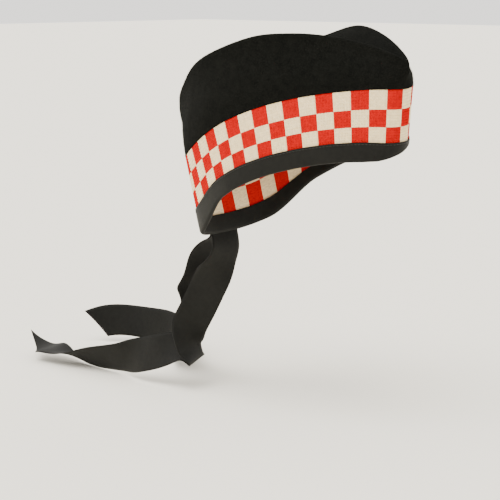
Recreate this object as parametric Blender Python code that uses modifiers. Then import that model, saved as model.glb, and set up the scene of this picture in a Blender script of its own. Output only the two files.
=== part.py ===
"""Glengarry: a boat-shaped wool cap with a diced band, a ribbon binding and two ribbon tails.

The cap is drawn level, with its front towards -Y and the wearer's left towards +X, and is then
tilted about the centre of its head opening, which is the origin. Lengths are in metres.
"""

from math import cos, pi, radians, sin

import bmesh
import bpy
import numpy as np

for old in list(bpy.data.objects):
    bpy.data.objects.remove(old, do_unlink=True)

# Driving sizes
MM = 0.001
GAP = 0.3 * MM

EDGE_FRONT = 111.5 * MM
EDGE_BACK = 122.0 * MM
EDGE_HALF = 68.5 * MM
EDGE_ARCH = 20.0 * MM
EDGE_SKEW = 7.0 * MM
EDGE_DIP = 13.0 * MM

SEAM_HEIGHT = 60.0 * MM
SEAM_FRONT = 138.0 * MM
SEAM_BACK = 117.5 * MM
SEAM_HALF = 72.0 * MM

CREST_HEIGHT = 146.0 * MM
CREST_FRONT = 150.5 * MM
CREST_BACK = 140.5 * MM
CREST_HALF = 59.0 * MM
CREST_ROUND = 8.0 * MM
VALLEY_DEPTH = 34.0 * MM
VALLEY_TIP = 8.0 * MM

FELT = 2.0 * MM
KNIT = 2.0 * MM
RIBBON = 1.0 * MM
RIBBON_WIDTH = 36.0 * MM
BINDING_OUTSIDE = 17.0 * MM
BINDING_INSIDE = 13.0 * MM
BINDING_FOLD = (KNIT + 2.0 * GAP + 2.0 * RIBBON) / 2.0
FRONT_NOTCH = 11.0 * MM

# The tails' lengths run along their middles, from the sewn end to the point of the slanted cut
TAIL_RIGHT_LENGTH = 393.0 * MM
TAIL_LEFT_LENGTH = 440.0 * MM
TAIL_LAP = 12.0 * MM
TAIL_SLANT = 25.0 * MM
SURFACE_DROP = 156.0 * MM

TILT_BACK = radians(18.0)
TILT_SIDE = radians(3.0)

# Turns from the front fold between which the lower edge dips to its low back
DIP_START = radians(112.0)
DIP_END = radians(150.0)

# Bends of the crown. The leads are how far the wall carries on straight from the seam and down from
# the crest, as shares of the distance between them, and how far the top does, as a share of its fall.
SEAM_LEAD = 0.37
CREST_LEAD = 0.32
CREST_LEAN = 0.10
TOP_LEAD = 0.35
VALLEY_LEAD = 0.30
RIDGE_FULLNESS = 0.87
VALLEY_FULLNESS = 0.70
TIP_LIFT = 0.6
TIP_SHARPNESS = 8
ROUND_LIMIT = 0.45

# Fineness: columns along half the cap, the share of the crest's columns spaced evenly,
# rows up the crown's side, round its crest and down to the valley, rows of the band,
# round the binding's fold and up its outside, rows along and strips across each tail, and steps
# in finding how far a tail reaches
HALF_COLUMNS = 32
EVEN_COLUMNS = 0.15
SIDE_ROWS = 8
CREST_ROWS = 3
TOP_ROWS = 6
BAND_ROWS = 3
FOLD_ROWS = 6
BINDING_ROWS = 2
TAIL_ROWS = 56
TAIL_STRIPS = 4
TAIL_ROW_GROWTH = 0.4
REACH_STEPS = 30
MERGE = 0.05 * MM
PROBE = 0.7 * MM

# Outline of the lower edge and of the band's upper seam, from the front fold to the back one.
# Columns: turn in degrees, then across and along for the edge, then across and along for the seam.
# Across is a share of the half width, along a share of the reach to the front or to the back.
OUTLINE = (
    (0, 0.00, -1.00, 0.00, -1.00),
    (14, 0.205, -0.962, 0.19, -0.98),
    (30, 0.385, -0.872, 0.427, -0.89),
    (52, 0.65, -0.598, 0.722, -0.607),
    (78, 0.93, -0.131, 0.945, -0.19),
    (105, 1.00, 0.280, 1.00, 0.255),
    (135, 0.824, 0.675, 0.805, 0.688),
    (160, 0.528, 0.950, 0.53, 0.91),
    (180, 0.00, 1.00, 0.00, 1.00),
)

# Rise of the two crests, which sag unevenly. Columns: share of the crest's length from
# the front, then the right and the left crest as shares of the crest height.
CREST = (
    (0.00, 0.560, 0.560),
    (0.03, 0.628, 0.628),
    (0.10, 0.750, 0.750),
    (0.22, 0.886, 0.892),
    (0.40, 0.992, 0.965),
    (0.55, 1.008, 0.975),
    (0.70, 0.990, 0.985),
    (0.85, 0.920, 0.920),
    (0.95, 0.834, 0.840),
    (1.00, 0.720, 0.720),
)

# Notch of the lower edge at the front, deepest just left of the middle. Columns: turn in degrees,
# negative on the right side, then share of the notch's depth.
NOTCH = (
    (-180, 0.00),
    (-34, 0.00),
    (-22, 0.12),
    (-12, 0.34),
    (-3, 0.57),
    (6, 0.80),
    (12, 0.94),
    (18, 1.00),
    (26, 0.72),
    (36, 0.22),
    (46, 0.00),
    (180, 0.00),
)

# Run of each tail, from the back of the lower edge. Columns: left and back as shares of the tail's
# reach over the surface, up as a share of the drop to the surface, then left, back and up of the
# direction across the ribbon at that place.
TAIL_RIGHT = (
    (-0.005, -0.008, -0.087, 0.99, -0.12, 0.00),
    (-0.005, 0.067, -0.418, 0.71, -0.70, 0.00),
    (0.000, 0.122, -0.700, 0.60, -0.75, -0.25),
    (0.004, 0.184, -0.870, 0.25, -0.55, -0.80),
    (-0.001, 0.246, -0.891, -0.10, -0.20, -0.97),
    (-0.006, 0.304, -0.898, -0.35, 0.00, -0.92),
    (-0.006, 0.418, -0.952, -0.85, 0.00, -0.53),
    (-0.006, 0.508, -0.987, -0.99, 0.00, -0.13),
    (-0.006, 0.571, -0.998, -0.99, 0.00, 0.16),
    (-0.006, 0.621, -0.993, -0.86, 0.00, 0.51),
    (-0.006, 0.673, -0.993, -0.82, 0.00, 0.57),
    (-0.006, 0.727, -0.975, -0.45, 0.00, 0.89),
)
TAIL_LEFT = (
    (0.002, 0.022, -0.099, 0.97, -0.24, 0.00),
    (0.043, 0.121, -0.437, 0.78, -0.62, 0.00),
    (0.113, 0.208, -0.736, 0.84, -0.40, 0.00),
    (0.174, 0.271, -0.947, 0.90, 0.20, 0.02),
    (0.220, 0.326, -1.001, 0.82, 0.45, 0.25),
    (0.258, 0.394, -0.964, 0.60, 0.20, 0.78),
    (0.288, 0.485, -0.947, 0.25, 0.00, 0.97),
    (0.291, 0.567, -0.944, 0.05, 0.00, 1.00),
    (0.261, 0.640, -0.939, -0.20, 0.20, 0.95),
    (0.201, 0.693, -0.939, -0.55, 0.20, 0.80),
)


def column(table, index):
    """One column of a table."""
    return np.array([row[index] for row in table], float)


def cubic(stations, values, where, flat_ends=False):
    """Smooth curve through a table's column; flat_ends gives it no slope at both ends."""
    gaps = np.diff(stations)
    steps = np.diff(values) / gaps
    count = len(stations)
    matrix = np.eye(count)
    bends = np.zeros(count)
    for i in range(1, count - 1):
        matrix[i, i - 1:i + 2] = (gaps[i - 1], 2.0 * (gaps[i - 1] + gaps[i]), gaps[i])
        bends[i] = 6.0 * (steps[i] - steps[i - 1])
    if flat_ends:
        matrix[0, :2] = (2.0 * gaps[0], gaps[0])
        matrix[-1, -2:] = (gaps[-1], 2.0 * gaps[-1])
        bends[0] = 6.0 * steps[0]
        bends[-1] = -6.0 * steps[-1]
    bend = np.linalg.solve(matrix, bends)
    i = np.clip(np.searchsorted(stations, where) - 1, 0, count - 2)
    t = where - stations[i]
    slope = steps[i] - gaps[i] * (2.0 * bend[i] + bend[i + 1]) / 6.0
    return values[i] + t * (slope + t * (bend[i] / 2.0 + t * (bend[i + 1] - bend[i]) / (6.0 * gaps[i])))


def unit(vectors):
    """Vectors at length one."""
    return vectors / np.linalg.norm(vectors, axis=-1, keepdims=True)


def tilt(points):
    """Cap's own frame to the world: tipped back, then to the side, about the head opening's centre."""
    x, y, z = np.moveaxis(np.asarray(points), -1, 0)
    y, z = y * cos(TILT_BACK) + z * sin(TILT_BACK), z * cos(TILT_BACK) - y * sin(TILT_BACK)
    x, z = x * cos(TILT_SIDE) - z * sin(TILT_SIDE), x * sin(TILT_SIDE) + z * cos(TILT_SIDE)
    return np.stack([x, y, z], axis=-1)


def wall(turn, height):
    """Outer face of the band, at a height above the lower edge, on the left side."""
    stations = np.radians(column(OUTLINE, 0))

    def level(across, along, half, front, back):
        x = half * cubic(stations, column(OUTLINE, across), turn)
        y = cubic(stations, column(OUTLINE, along), turn, flat_ends=True)
        return x, np.where(y < 0.0, y * front, y * back)

    edge_x, edge_y = level(1, 2, EDGE_HALF, EDGE_FRONT, EDGE_BACK)
    seam_x, seam_y = level(3, 4, SEAM_HALF, SEAM_FRONT, SEAM_BACK)
    share = height / SEAM_HEIGHT
    arch = np.sin(turn) ** 2 * (EDGE_ARCH + EDGE_SKEW * np.cos(turn))
    back = np.clip((turn - DIP_START) / (DIP_END - DIP_START), 0.0, 1.0)
    dip = EDGE_DIP * back * back * (3.0 - 2.0 * back) * (1.0 - share)
    x = edge_x + (seam_x - edge_x) * share
    y = edge_y + (seam_y - edge_y) * share
    return np.stack([x, y, height + arch - dip], axis=-1)


def off_wall(turn, height, offset):
    """Point of the wall moved straight out of it by an offset."""
    step = PROBE / EDGE_HALF
    around = wall(turn + step, height) - wall(turn - step, height)
    up = wall(turn, height + PROBE) - wall(turn, height - PROBE)
    return wall(turn, height) + offset * unit(np.cross(around, up))


def crest(turn, side):
    """Ridge between one side of the crown and its top, and the valley line between the two."""
    share = (1.0 - EVEN_COLUMNS) * 0.5 * (1.0 - np.cos(turn)) + EVEN_COLUMNS * turn / pi
    bulge = np.clip(np.sin(pi * share), 0.0, 1.0)
    along = -CREST_FRONT + (CREST_FRONT + CREST_BACK) * share
    rises = [CREST_HEIGHT * cubic(column(CREST, 0), column(CREST, place), share) for place in (1, 2)]
    ridge = np.stack([CREST_HALF * bulge ** RIDGE_FULLNESS, along, rises[side]], axis=-1)
    tip = TIP_LIFT * VALLEY_TIP * np.cos(pi * share) ** TIP_SHARPNESS
    sunk = (rises[0] + rises[1]) / 2.0 - VALLEY_DEPTH * bulge ** VALLEY_FULLNESS + tip
    valley = np.stack([0.0 * turn, along * (1.0 - VALLEY_TIP / CREST_FRONT), sunk], axis=-1)
    return ridge, valley


def bezier(start, first, second, end, count):
    """Rows of a cubic Bezier from start to end, without the first."""
    shares = np.linspace(0.0, 1.0, count + 1)[1:]
    return [
        (1 - t) ** 3 * start + 3 * (1 - t) ** 2 * t * first + 3 * (1 - t) * t * t * second + t ** 3 * end
        for t in shares
    ]


def crown_rows(turn, side):
    """Rows up one side, 0 right or 1 left, from the seam over the rounded crest to the valley."""
    seam = wall(turn, SEAM_HEIGHT + GAP / 2.0)
    ridge, valley = crest(turn, side)
    rise = np.linalg.norm(ridge - seam, axis=-1, keepdims=True)
    fall = np.linalg.norm(valley - ridge, axis=-1, keepdims=True)
    level = np.array([1.0, 1.0, 0.0])
    up = unit(seam - wall(turn, 0.0))
    lean = ridge - np.array([0.0, 0.0, CREST_LEAD]) * rise + CREST_LEAN * (seam - ridge) * level
    side_way = unit(ridge - lean)
    top_way = (valley - ridge) / fall
    radius = np.minimum(CREST_ROUND, ROUND_LIMIT * fall)
    below = ridge - side_way * radius
    beyond = ridge + top_way * radius
    inner = valley + VALLEY_LEAD * (ridge - valley) * level
    rows = [seam]
    rows += bezier(seam, seam + up * SEAM_LEAD * rise, lean - side_way * radius, below, SIDE_ROWS)
    rows += bezier(below, (below + 2.0 * ridge) / 3.0, (beyond + 2.0 * ridge) / 3.0, beyond, CREST_ROWS)
    rows += bezier(beyond, beyond + top_way * TOP_LEAD * (fall - radius), inner, valley, TOP_ROWS)
    return np.asarray(rows)


def lower_edge(turn, side):
    """Height of the lower edge along one side, raised at the front by the notch."""
    degrees = np.degrees(turn) * (1.0 if side else -1.0)
    return FRONT_NOTCH * np.interp(degrees, column(NOTCH, 0), column(NOTCH, 1))


def band_rows(turn, side):
    """Rows of the band's outer face, from its foot inside the binding's fold up to the seam."""
    foot = lower_edge(turn, side) + BINDING_FOLD
    top = SEAM_HEIGHT - GAP / 2.0
    return np.asarray([wall(turn, foot + (top - foot) * share) for share in np.linspace(0.0, 1.0, BAND_ROWS + 1)])


def binding_rows(turn, side):
    """Rows of the binding's outer face, up from inside the head opening, round and up the outside."""
    edge = lower_edge(turn, side)
    bend = edge + BINDING_FOLD
    out = GAP + RIBBON
    rows = [off_wall(turn, edge + BINDING_INSIDE, out - 2.0 * BINDING_FOLD)]
    for angle in np.linspace(pi, 0.0, FOLD_ROWS + 1):
        rows.append(off_wall(turn, bend - BINDING_FOLD * sin(angle), out - BINDING_FOLD * (1.0 - cos(angle))))
    for share in np.linspace(0.0, 1.0, BINDING_ROWS + 1)[1:]:
        rows.append(off_wall(turn, bend + (BINDING_OUTSIDE - bend) * share, out))
    return np.asarray(rows)


def tail_middle(length, table, seat):
    """Places along a tail's middle and its run to each; it reaches out as far as its length lets it."""
    anchor = tilt(wall(np.array([pi]), 0.0))[0]
    reach = length
    for _ in range(REACH_STEPS):
        places = [anchor + np.array(row[:3]) * (reach, reach, SURFACE_DROP) for row in table]
        middle = np.array(seat + places)
        run = np.concatenate([[0.0], np.cumsum(np.linalg.norm(np.diff(middle, axis=0), axis=-1))])
        reach += length - run[-1]
    return middle, run


def tail_rows(length, table, offset):
    """Rows of a ribbon sewn flat on the back of the binding, which then falls along its table."""
    back = np.array([pi])
    seat = [tilt(off_wall(back, TAIL_LAP * share + RIBBON, offset))[0] for share in (1.0, 0.5, 0.0)]
    middle, run = tail_middle(length, table, seat)
    across = unit(np.array([tilt([1.0, 0.0, 0.0])] * len(seat) + [row[3:] for row in table]))
    seat_end = run[len(seat) - 1]

    def along_run(values, where):
        return np.array([cubic(run, values[:, axis], where) for axis in range(3)])

    # The binding's curve round the cap's back, which the sewn end of the ribbon follows.
    half = RIBBON_WIDTH / 2.0
    edge = wall(np.array([pi - half / EDGE_BACK]), RIBBON)[0]
    sag = (EDGE_BACK - edge[1]) * (half / edge[0]) ** 2
    rows = []
    for step in np.linspace(0.0, 1.0, TAIL_ROWS + 1):
        share = step * (1.0 - TAIL_ROW_GROWTH + TAIL_ROW_GROWTH * step)
        row = []
        for place in np.linspace(-1.0, 1.0, TAIL_STRIPS + 1):
            where = share * (run[-1] + TAIL_SLANT * (place - 1.0) / 2.0)
            centre = along_run(middle, where)
            ahead = unit(along_run(middle, where + MM) - centre)
            width = along_run(across, where)
            width = unit(width - ahead * np.dot(width, ahead))
            hold = np.clip(1.0 - (where - seat_end) / TAIL_LAP, 0.0, 1.0)
            bow = np.cross(width, ahead) * sag * hold * place ** 2
            row.append(centre + width * half * place - bow)
        rows.append(row)
    return np.asarray(rows)


def cloth(name, rows, closed, thickness, side, material):
    """Sheet through rows of points, thickened: side -1 into the cap, 0 evenly both ways."""
    count, width = rows.shape[:2]
    mesh = bpy.data.meshes.new(name)
    build = bmesh.new()
    verts = [[build.verts.new(point) for point in row] for row in rows]
    for i in range(count - 1):
        for k in range(width if closed else width - 1):
            after = (k + 1) % width
            build.faces.new((verts[i][k], verts[i][after], verts[i + 1][after], verts[i + 1][k]))
    bmesh.ops.remove_doubles(build, verts=build.verts, dist=MERGE)
    build.to_mesh(mesh)
    build.free()
    mesh.shade_smooth()
    mesh.materials.append(material)
    piece = bpy.data.objects.new(name, mesh)
    parts.objects.link(piece)
    shell = piece.modifiers.new("thickness", "SOLIDIFY")
    shell.thickness = thickness
    shell.offset = side
    shell.use_even_offset = True
    shell.thickness_clamp = 1.0


def ring(name, rows, thickness, material):
    """Closed wall of the cap from a function that gives the rows of one side."""
    turn = np.linspace(0.0, pi, HALF_COLUMNS + 1)
    left = rows(turn, 1)
    right = rows(turn, 0)[:, -2:0:-1] * np.array([-1.0, 1.0, 1.0])
    cloth(name, tilt(np.concatenate([left, right], axis=1)), True, thickness, -1.0, material)


def surface(name, colour, roughness):
    """Plain material; colour is the seen red, green and blue, each up to 255."""
    material = bpy.data.materials.new(name)
    material.use_nodes = True
    shader = material.node_tree.nodes["Principled BSDF"]
    linear = [(value / 255.0) ** 2.2 for value in colour]
    shader.inputs["Base Color"].default_value = (*linear, 1.0)
    shader.inputs["Roughness"].default_value = roughness
    shader.inputs["Metallic"].default_value = 0.0
    return material


parts = bpy.data.collections.new("glengarry")
bpy.context.scene.collection.children.link(parts)

felt = surface("felt", (29, 29, 26), 0.95)
knit = surface("knit", (243, 150, 130), 0.9)
ribbon = surface("ribbon", (43, 43, 38), 0.7)

# Crown: felted wool, the sides folded over the crest and sunk along the middle
ring("crown", crown_rows, FELT, felt)

# Diced band: knitted strip under the crown, its foot inside the binding's fold
ring("diced_band", band_rows, KNIT, knit)

# Binding: ribbon folded round the lower edge
ring("binding", binding_rows, RIBBON, ribbon)

# Tails: two ribbons sewn one over the other on the binding at the back
first_offset = GAP + RIBBON + GAP + RIBBON / 2.0
second_offset = first_offset + RIBBON + 2.0 * GAP
cloth("tail_right", tail_rows(TAIL_RIGHT_LENGTH, TAIL_RIGHT, first_offset), False, RIBBON, 0.0, ribbon)
cloth("tail_left", tail_rows(TAIL_LEFT_LENGTH, TAIL_LEFT, second_offset), False, RIBBON, 0.0, ribbon)
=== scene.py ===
from math import cos, pi, radians, sin

import bmesh
import bpy
import numpy as np
from mathutils import Matrix, Vector
from mathutils.noise import noise as waver


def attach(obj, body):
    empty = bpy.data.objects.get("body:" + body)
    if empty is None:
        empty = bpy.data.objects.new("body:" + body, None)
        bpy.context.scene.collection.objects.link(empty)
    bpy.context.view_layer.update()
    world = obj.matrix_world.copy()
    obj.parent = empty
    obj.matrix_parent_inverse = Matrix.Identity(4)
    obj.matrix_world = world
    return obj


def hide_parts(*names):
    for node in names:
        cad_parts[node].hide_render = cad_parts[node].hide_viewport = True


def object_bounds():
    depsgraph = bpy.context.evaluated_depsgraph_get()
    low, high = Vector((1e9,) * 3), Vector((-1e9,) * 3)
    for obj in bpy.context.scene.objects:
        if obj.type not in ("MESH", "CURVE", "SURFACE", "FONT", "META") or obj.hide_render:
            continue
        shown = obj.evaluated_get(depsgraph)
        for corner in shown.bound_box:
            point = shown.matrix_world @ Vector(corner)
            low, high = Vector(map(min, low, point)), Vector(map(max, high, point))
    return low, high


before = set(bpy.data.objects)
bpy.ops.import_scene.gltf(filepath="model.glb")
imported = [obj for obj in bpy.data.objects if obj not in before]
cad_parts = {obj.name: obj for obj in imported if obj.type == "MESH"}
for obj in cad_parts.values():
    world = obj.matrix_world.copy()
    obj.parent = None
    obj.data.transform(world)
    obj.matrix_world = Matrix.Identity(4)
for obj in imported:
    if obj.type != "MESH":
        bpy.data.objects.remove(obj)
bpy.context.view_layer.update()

# Crown
# The body of the cap: black wool, knitted, milled and cropped to a short felted nap. It is one shell,
# creased along a boat-shaped crest, with its top pushed down between the two creases, and it is sewn
# to the diced band along its lower rim.
MM = 0.001
GAP = 0.3 * MM
FELT = 2.0 * MM

EDGE_FRONT = 111.5 * MM
EDGE_BACK = 122.0 * MM
EDGE_HALF = 68.5 * MM
EDGE_ARCH = 20.0 * MM
EDGE_SKEW = 7.0 * MM
EDGE_DIP = 13.0 * MM
DIP_START = radians(112.0)
DIP_END = radians(150.0)
SEAM_HEIGHT = 60.0 * MM
SEAM_FRONT = 138.0 * MM
SEAM_BACK = 117.5 * MM
SEAM_HALF = 72.0 * MM
CREST_HEIGHT = 146.0 * MM
CREST_FRONT = 150.5 * MM
CREST_BACK = 140.5 * MM
CREST_HALF = 59.0 * MM
CREST_ROUND = 6.0 * MM
CREASE_RISE = 1.1 * MM
VALLEY_DEPTH = 34.0 * MM
VALLEY_TIP = 8.0 * MM
RIM_RISE = 1.2 * MM
CLOTH_WAVE = 0.9 * MM
WAVE_LENGTH = 38.0 * MM
WAVE_SHIFT = 9.0
# The lowest rows, which keep their form, and the rows over which the cloth's waves set in
FLAT_ROWS = 3
FADE_ROWS = 8.0
TILT_BACK = radians(18.0)
TILT_SIDE = radians(3.0)
# Leads of the crown's curves as shares of its rise or its fall, and how full its lines are
SEAM_LEAD = 0.37
CREST_LEAD = 0.32
CREST_LEAN = 0.10
TOP_LEAD = 0.35
VALLEY_LEAD = 0.30
RIDGE_FULLNESS = 0.87
VALLEY_FULLNESS = 0.70
TIP_LIFT = 0.6
TIP_SHARPNESS = 8
ROUND_LIMIT = 0.45
# Columns of half the crown and rows of its parts, and the step that finds which way a wall faces
EVEN_COLUMNS = 0.15
HALF_COLUMNS = 96
SIDE_ROWS = 34
CREASE_ROWS = 10
TOP_ROWS = 24
PROBE = 0.7 * MM
WELD = 0.05 * MM

# Turn in degrees from the front fold, then across and along for the edge and for the band's seam
OUTLINE = (
    (0, 0.00, -1.00, 0.00, -1.00),
    (14, 0.205, -0.962, 0.19, -0.98),
    (30, 0.385, -0.872, 0.427, -0.89),
    (52, 0.65, -0.598, 0.722, -0.607),
    (78, 0.93, -0.131, 0.945, -0.19),
    (105, 1.00, 0.280, 1.00, 0.255),
    (135, 0.824, 0.675, 0.805, 0.688),
    (160, 0.528, 0.950, 0.53, 0.91),
    (180, 0.00, 1.00, 0.00, 1.00),
)
# Share of the crest's length from the front, then the rise of the right and of the left crest
CREST = (
    (0.00, 0.560, 0.560),
    (0.03, 0.628, 0.628),
    (0.10, 0.750, 0.750),
    (0.22, 0.886, 0.892),
    (0.40, 0.992, 0.965),
    (0.55, 1.008, 0.975),
    (0.70, 0.990, 0.985),
    (0.85, 0.920, 0.920),
    (0.95, 0.834, 0.840),
    (1.00, 0.720, 0.720),
)


def column(table, index):
    """One column of a table."""
    return np.array([row[index] for row in table], float)


def cubic(stations, values, where, flat_ends=False):
    """Smooth curve through a table's column; flat_ends gives it no slope at both ends."""
    gaps = np.diff(stations)
    steps = np.diff(values) / gaps
    count = len(stations)
    matrix = np.eye(count)
    bends = np.zeros(count)
    for i in range(1, count - 1):
        matrix[i, i - 1:i + 2] = (gaps[i - 1], 2.0 * (gaps[i - 1] + gaps[i]), gaps[i])
        bends[i] = 6.0 * (steps[i] - steps[i - 1])
    if flat_ends:
        matrix[0, :2] = (2.0 * gaps[0], gaps[0])
        matrix[-1, -2:] = (gaps[-1], 2.0 * gaps[-1])
        bends[0] = 6.0 * steps[0]
        bends[-1] = -6.0 * steps[-1]
    bend = np.linalg.solve(matrix, bends)
    i = np.clip(np.searchsorted(stations, where) - 1, 0, count - 2)
    t = where - stations[i]
    slope = steps[i] - gaps[i] * (2.0 * bend[i] + bend[i + 1]) / 6.0
    return values[i] + t * (slope + t * (bend[i] / 2.0 + t * (bend[i + 1] - bend[i]) / (6.0 * gaps[i])))


def unit(vectors):
    """Vectors at length one."""
    return vectors / np.linalg.norm(vectors, axis=-1, keepdims=True)


def tilt(points):
    """From the level cap to the cap as worn: tipped back, then to the side, about its origin."""
    x, y, z = np.moveaxis(np.asarray(points), -1, 0)
    y, z = y * cos(TILT_BACK) + z * sin(TILT_BACK), z * cos(TILT_BACK) - y * sin(TILT_BACK)
    x, z = x * cos(TILT_SIDE) - z * sin(TILT_SIDE), x * sin(TILT_SIDE) + z * cos(TILT_SIDE)
    return np.stack([x, y, z], axis=-1)


def low_back(turn):
    """Share of the lower edge's dip at the back: none at the sides, all of it at the back fold."""
    back = np.clip((turn - DIP_START) / (DIP_END - DIP_START), 0.0, 1.0)
    return back * back * (3.0 - 2.0 * back)


def wall(turn, height):
    """Outer face of the band, at a height above the lower edge, on the left side."""
    stations = np.radians(column(OUTLINE, 0))

    def level(across, along, half, front, back):
        x = half * cubic(stations, column(OUTLINE, across), turn)
        y = cubic(stations, column(OUTLINE, along), turn, flat_ends=True)
        return x, np.where(y < 0.0, y * front, y * back)

    edge_x, edge_y = level(1, 2, EDGE_HALF, EDGE_FRONT, EDGE_BACK)
    seam_x, seam_y = level(3, 4, SEAM_HALF, SEAM_FRONT, SEAM_BACK)
    share = height / SEAM_HEIGHT
    arch = np.sin(turn) ** 2 * (EDGE_ARCH + EDGE_SKEW * np.cos(turn))
    dip = EDGE_DIP * low_back(turn) * (1.0 - share) ** 2
    x = edge_x + (seam_x - edge_x) * share
    y = edge_y + (seam_y - edge_y) * share
    return np.stack([x, y, height + arch - dip], axis=-1)


def out_of_wall(turn, height):
    """Direction straight out of the band's wall."""
    step = PROBE / EDGE_HALF
    around = wall(turn + step, height) - wall(turn - step, height)
    up = wall(turn, height + PROBE) - wall(turn, height - PROBE)
    return unit(np.cross(around, up))


def off_wall(turn, height, offset):
    """Point of the wall moved straight out of it by an offset."""
    return wall(turn, height) + offset * out_of_wall(turn, height)


def crest(turn, side):
    """Crease between one side of the crown and its top, and the valley line between the two."""
    share = (1.0 - EVEN_COLUMNS) * 0.5 * (1.0 - np.cos(turn)) + EVEN_COLUMNS * turn / pi
    bulge = np.clip(np.sin(pi * share), 0.0, 1.0)
    along = -CREST_FRONT + (CREST_FRONT + CREST_BACK) * share
    rises = [CREST_HEIGHT * cubic(column(CREST, 0), column(CREST, place), share) for place in (1, 2)]
    ridge = np.stack([CREST_HALF * bulge ** RIDGE_FULLNESS, along, rises[side]], axis=-1)
    tip = TIP_LIFT * VALLEY_TIP * np.cos(pi * share) ** TIP_SHARPNESS
    sunk = (rises[0] + rises[1]) / 2.0 - VALLEY_DEPTH * bulge ** VALLEY_FULLNESS + tip
    valley = np.stack([0.0 * turn, along * (1.0 - VALLEY_TIP / CREST_FRONT), sunk], axis=-1)
    return ridge, valley


def bezier(start, first, second, end, count):
    """Rows of a cubic Bezier from start to end, without the first."""
    shares = np.linspace(0.0, 1.0, count + 1)[1:]
    return [
        (1 - t) ** 3 * start + 3 * (1 - t) ** 2 * t * first + 3 * (1 - t) * t * t * second + t ** 3 * end
        for t in shares
    ]


def crown_rows(turn, side):
    """Rows up one side, 0 right or 1 left, from the rim over the crease to the valley."""
    seam = wall(turn, SEAM_HEIGHT + GAP / 2.0)
    ridge, valley = crest(turn, side)
    rise = np.linalg.norm(ridge - seam, axis=-1, keepdims=True)
    fall = np.linalg.norm(valley - ridge, axis=-1, keepdims=True)
    level = np.array([1.0, 1.0, 0.0])
    up = unit(seam - wall(turn, 0.0))
    lean = ridge - np.array([0.0, 0.0, CREST_LEAD]) * rise + CREST_LEAN * (seam - ridge) * level
    side_way = unit(ridge - lean)
    top_way = (valley - ridge) / fall
    radius = np.minimum(CREST_ROUND, ROUND_LIMIT * fall)
    below = ridge - side_way * radius
    beyond = ridge + top_way * radius
    inner = valley + VALLEY_LEAD * (ridge - valley) * level
    rim = off_wall(turn, SEAM_HEIGHT - GAP, GAP)
    rows = [rim, off_wall(turn, SEAM_HEIGHT + RIM_RISE, GAP)]
    rows += bezier(seam, seam + up * SEAM_LEAD * rise, lean - side_way * radius, below, SIDE_ROWS)[1:]
    crease = ridge + CREASE_RISE * unit(2.0 * ridge - below - beyond)
    rows += bezier(below, (below + 2.0 * crease) / 3.0, (beyond + 2.0 * crease) / 3.0, beyond, CREASE_ROWS)
    rows += bezier(beyond, beyond + top_way * TOP_LEAD * (fall - radius), inner, valley, TOP_ROWS)
    return np.asarray(rows)


def ring(rows, half_columns):
    """Closed loops round the cap, as worn, from a function that gives the rows of one side."""
    turn = np.linspace(0.0, pi, half_columns + 1)
    mirrored = rows(turn, 0)[:, -2:0:-1] * np.array([-1.0, 1.0, 1.0])
    return tilt(np.concatenate([rows(turn, 1), mirrored], axis=1))


def added(name, data):
    """New object of some data, in the scene."""
    piece = bpy.data.objects.new(name, data)
    bpy.context.scene.collection.objects.link(piece)
    return piece


def cloth(name, rows, closed, material):
    """Sheet through rows of points with a map in metres: u along each row, v from row to row."""
    count, width = rows.shape[:2]
    whole = np.concatenate([rows, rows[:, :1]], axis=1) if closed else rows
    middle = whole[count // 2]
    u = np.concatenate([[0.0], np.cumsum(np.linalg.norm(np.diff(middle, axis=0), axis=-1))])
    centre = whole[:, whole.shape[1] // 4]
    v = np.concatenate([[0.0], np.cumsum(np.linalg.norm(np.diff(centre, axis=0), axis=-1))])
    faces = []
    spots = []
    for i in range(count - 1):
        for k in range(whole.shape[1] - 1):
            after = (k + 1) % width
            faces.append((i * width + k, i * width + after, (i + 1) * width + after, (i + 1) * width + k))
            spots += [(u[k], v[i]), (u[k + 1], v[i]), (u[k + 1], v[i + 1]), (u[k], v[i + 1])]
    mesh = bpy.data.meshes.new(name)
    mesh.from_pydata(rows.reshape(-1, 3).tolist(), [], faces)
    mesh.uv_layers.new(name="cloth").data.foreach_set("uv", np.array(spots, np.float32).ravel())
    mesh.materials.append(material)
    mesh.shade_smooth()
    return added(name, mesh)


def thicken(piece, thickness, side=-1.0):
    """Gives a sheet its thickness: side -1 to the inside, 0 evenly both ways."""
    shell = piece.modifiers.new("thickness", "SOLIDIFY")
    shell.thickness = thickness
    shell.offset = side
    shell.use_even_offset = True
    shell.thickness_clamp = 1.0


def finish_material(name, roughness, sheen, sheen_roughness, sheen_tint, specular):
    """New material with its plain numbers set; returns it, its node tree and its shader."""
    material = bpy.data.materials.new(name)
    material.use_nodes = True
    shader = material.node_tree.nodes["Principled BSDF"]
    shader.inputs["Roughness"].default_value = roughness
    shader.inputs["Metallic"].default_value = 0.0
    shader.inputs["Specular IOR Level"].default_value = specular
    shader.inputs["Sheen Weight"].default_value = sheen
    shader.inputs["Sheen Roughness"].default_value = sheen_roughness
    shader.inputs["Sheen Tint"].default_value = (*sheen_tint, 1.0)
    return material, material.node_tree, shader


def noise(tree, coordinates, scale, detail):
    """Noise of so many features a metre."""
    cloud = tree.nodes.new("ShaderNodeTexNoise")
    cloud.inputs["Scale"].default_value = scale
    cloud.inputs["Detail"].default_value = detail
    tree.links.new(coordinates, cloud.inputs["Vector"])
    return cloud.outputs["Fac"]


def spread(tree, value, low, high, bottom=0.0, top=1.0):
    """A value's range from low to high, stretched from bottom to top."""
    span = tree.nodes.new("ShaderNodeMapRange")
    span.inputs["From Min"].default_value = low
    span.inputs["From Max"].default_value = high
    span.inputs["To Min"].default_value = bottom
    span.inputs["To Max"].default_value = top
    tree.links.new(value, span.inputs["Value"])
    return span.outputs["Result"]


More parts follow.
